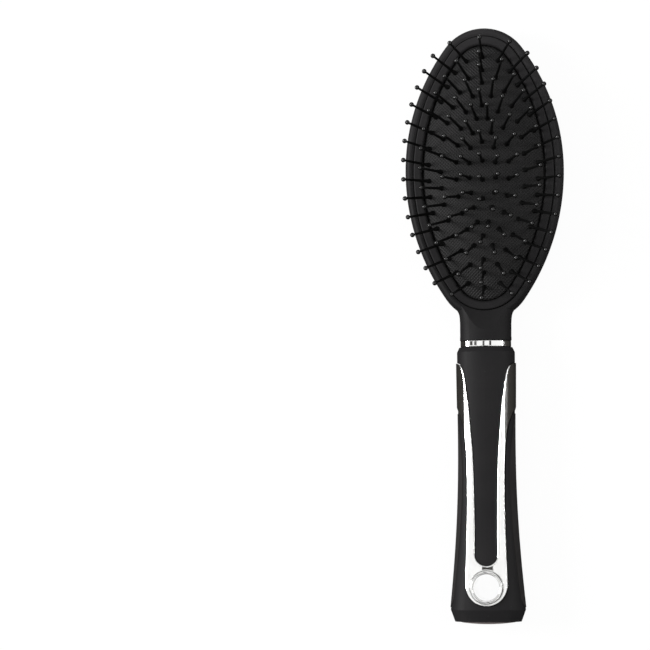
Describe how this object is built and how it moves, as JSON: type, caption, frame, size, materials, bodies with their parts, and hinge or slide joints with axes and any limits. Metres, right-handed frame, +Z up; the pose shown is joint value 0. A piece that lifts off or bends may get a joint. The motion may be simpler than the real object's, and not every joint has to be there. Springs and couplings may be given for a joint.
{
  "type": "oval cushion hair brush",
  "caption": "Oval cushion hair brush: domed rubber pad with ball-tipped pins that sink on an air chamber, soft-touch paddle and flared handle with bright fork trim and a lined hanging hole.",
  "frame": {"origin": "centre of the box that holds the brush, on the table that it lies on with its back down", "axes": "+Y from the foot of the handle to the nose of the head, +Z up, the way the pins point, +X across the head"},
  "size_m": [0.064, 0.24, 0.0362],
  "materials": {
    "soft_touch_shell": "soft-touch lacquer over moulded plastic, black",
    "cushion_rubber": "moulded rubber with a fine cross-hatched grain, black",
    "pin_nylon": "moulded nylon, glossy black",
    "bright_plate": "bright plating over moulded plastic",
    "grip_rubber": "soft elastomer, black, matt"
  },
  "bodies": {
    "brush": {"paddle_body": "soft_touch_shell", "cushion_frame": "soft_touch_shell", "cushion_pad": "cushion_rubber", "neck_collar": "bright_plate", "handle_front": "soft_touch_shell", "handle_back": "soft_touch_shell", "trim_front": "bright_plate", "trim_back": "bright_plate", "eyelet_front": "bright_plate", "eyelet_back": "bright_plate", "side_grip_left": "grip_rubber", "side_grip_right": "grip_rubber", "end_cap": "soft_touch_shell"},
    "centre_pins": {"pin_row_centre": "pin_nylon"},
    "inner_pins": {"pin_ring_inner": "pin_nylon"},
    "third_pins": {"pin_ring_third": "pin_nylon"},
    "second_pins": {"pin_ring_second": "pin_nylon"},
    "outer_pins": {"pin_ring_outer": "pin_nylon"}
  },
  "joints": [
    {"name": "cushion_press", "type": "slide", "parent": "brush", "child": "centre_pins", "axis": [0, 0, -1], "range_m": [0, 0.004], "stiffness_N_per_m": 400, "springref_m": -0.0005, "deforming": ["cushion_pad"]},
    {"name": "inner_press", "type": "slide", "parent": "brush", "child": "inner_pins", "axis": [0, 0, -1], "range_m": [0, 0.004], "deforming": ["cushion_pad"]},
    {"name": "third_press", "type": "slide", "parent": "brush", "child": "third_pins", "axis": [0, 0, -1], "range_m": [0, 0.004], "deforming": ["cushion_pad"]},
    {"name": "second_press", "type": "slide", "parent": "brush", "child": "second_pins", "axis": [0, 0, -1], "range_m": [0, 0.003], "deforming": ["cushion_pad"]},
    {"name": "outer_press", "type": "slide", "parent": "brush", "child": "outer_pins", "axis": [0, 0, -1], "range_m": [0, 0.002], "deforming": ["cushion_pad"]}
  ],
  "couplings": [
    {"joint": "inner_press", "follows": "cushion_press", "ratio": 0.88},
    {"joint": "third_press", "follows": "cushion_press", "ratio": 0.75},
    {"joint": "second_press", "follows": "cushion_press", "ratio": 0.54},
    {"joint": "outer_press", "follows": "cushion_press", "ratio": 0.28}
  ]
}
